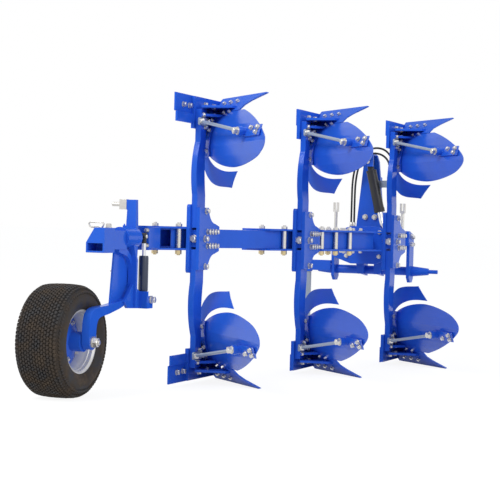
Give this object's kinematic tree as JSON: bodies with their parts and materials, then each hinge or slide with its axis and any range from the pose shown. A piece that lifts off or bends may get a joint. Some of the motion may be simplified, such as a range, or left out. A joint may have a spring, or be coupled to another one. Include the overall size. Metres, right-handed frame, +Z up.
{
  "type": "mounted reversible moldboard plough",
  "caption": "Fully mounted reversible moldboard plough: diagonal beam with mirrored bodies above and below, turnover headstock with cylinder, parking stand and swinging depth wheel.",
  "frame": {"origin": "on the floor, below the middle of the bounding box as the plough stands parked", "axes": "+X the direction of travel, +Y the left side, +Z up"},
  "size_m": [3.832, 1.6771, 1.68],
  "materials": {
    "blue_paint": "gloss blue paint over steel, slightly dusty",
    "grey_paint": "pale blue-grey paint over steel",
    "dark_paint": "near-black paint over steel",
    "silver_paint": "silver wheel paint, dusty",
    "zinc_plated": "yellow zinc-plated steel",
    "chrome_rod": "ground and chromed piston rod",
    "hose_rubber": "black hydraulic hose",
    "tyre_rubber": "black rubber with brown dust"
  },
  "bodies": {
    "headstock": {"tower": "blue_paint", "turnover_housing": "blue_paint", "cylinder_top_pin": "zinc_plated", "hitch_arms": "blue_paint", "cross_shaft": "blue_paint", "stand_socket": "blue_paint", "valve_block": "grey_paint", "tilt_spindles": "zinc_plated", "hose_inner": "hose_rubber", "hose_outer": "hose_rubber", "hose_fittings": "zinc_plated"},
    "frame": {"bracket_front": "blue_paint", "bracket_middle": "blue_paint", "bracket_rear": "blue_paint", "clamp_pins": "zinc_plated", "frogs_front": "blue_paint", "frogs_middle": "blue_paint", "frogs_rear": "blue_paint", "front_console": "blue_paint", "landsides_front": "blue_paint", "landsides_middle": "blue_paint", "landsides_rear": "blue_paint", "leg_front_lower": "blue_paint", "leg_front_upper": "blue_paint", "leg_middle_lower": "blue_paint", "leg_middle_upper": "blue_paint", "leg_rear_lower": "blue_paint", "leg_rear_upper": "blue_paint", "main_beam": "blue_paint", "middle_console": "blue_paint", "mouldboard_front_lower": "blue_paint", "mouldboard_front_upper": "blue_paint", "mouldboard_middle_lower": "blue_paint", "mouldboard_middle_upper": "blue_paint", "mouldboard_rear_lower": "blue_paint", "mouldboard_rear_upper": "blue_paint", "rear_console": "blue_paint", "shares_front": "blue_paint", "shares_middle": "blue_paint", "shares_rear": "blue_paint", "stays_front": "grey_paint", "stays_middle": "grey_paint", "stays_rear": "grey_paint", "stop_screws": "zinc_plated", "tail_brackets": "blue_paint", "trash_boards_front": "blue_paint", "trash_boards_middle": "blue_paint", "trash_boards_rear": "blue_paint", "turnover_shaft": "blue_paint", "wheel_pivot": "blue_paint"},
    "wheel_arm": {"wheel_arm": "blue_paint", "arm_socket": "blue_paint", "damper": "dark_paint"},
    "wheel": {"tyre": "tyre_rubber", "wheel_rim": "silver_paint", "wheel_disc": "blue_paint"},
    "stand": {"parking_stand": "grey_paint"},
    "cylinder_tube": {"cylinder_tube": "dark_paint"},
    "cylinder_rod": {"cylinder_rod": "chrome_rod"}
  },
  "joints": [
    {"name": "turnover", "type": "hinge", "parent": "headstock", "child": "frame", "pos_m": [1.542, 0.08748, 0.84], "axis": [1, 0, 0], "range_deg": [0, 180]},
    {"name": "stand_slide", "type": "slide", "parent": "headstock", "child": "stand", "axis": [0, 0, 1], "range_m": [0, 0.33]},
    {"name": "cylinder_swing", "type": "hinge", "parent": "headstock", "child": "cylinder_tube", "pos_m": [1.72, 0.08748, 1.4], "axis": [1, 0, 0], "range_deg": [0, 26.9]},
    {"name": "rod_slide", "type": "slide", "parent": "cylinder_tube", "child": "cylinder_rod", "axis": [0, -0.2327, -0.9725], "range_m": [0, 0.118]},
    {"name": "wheel_arm_swing", "type": "hinge", "parent": "frame", "child": "wheel_arm", "pos_m": [-1.218, 0.55848, 0.84], "axis": [1, 0, 0], "range_deg": [-210.1, 0]},
    {"name": "wheel_spin", "type": "hinge", "parent": "wheel_arm", "child": "wheel", "pos_m": [-1.618, 0.70448, 0.298], "axis": [0, 1, 0], "continuous": true}
  ]
}
